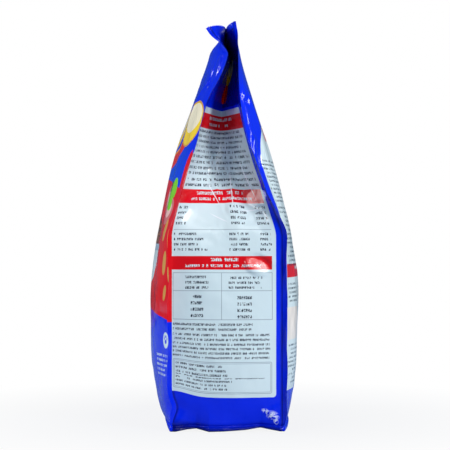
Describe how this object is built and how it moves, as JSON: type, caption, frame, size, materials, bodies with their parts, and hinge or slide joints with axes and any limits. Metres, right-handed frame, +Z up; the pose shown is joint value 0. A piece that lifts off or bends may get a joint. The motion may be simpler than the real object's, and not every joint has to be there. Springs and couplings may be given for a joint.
{
  "type": "pet food bag",
  "caption": "Filled and sealed side gusset bag of printed glossy film for dry pet food, standing on its base, with corner fins and a flat top weld.",
  "frame": {"origin": "middle of the bounding box's underside, on the surface that the bag stands on", "axes": "+Z up the bag's height, X along the width of the front and back panels, -Y out of the front panel, +X out of the side gusset that the picture shows"},
  "size_m": [0.2618, 0.163, 0.42],
  "materials": {
    "printed_film": "glossy printed film, blue with pale label panels and red bands"
  },
  "bodies": {
    "root": {"bag": "printed_film"}
  },
  "joints": []
}
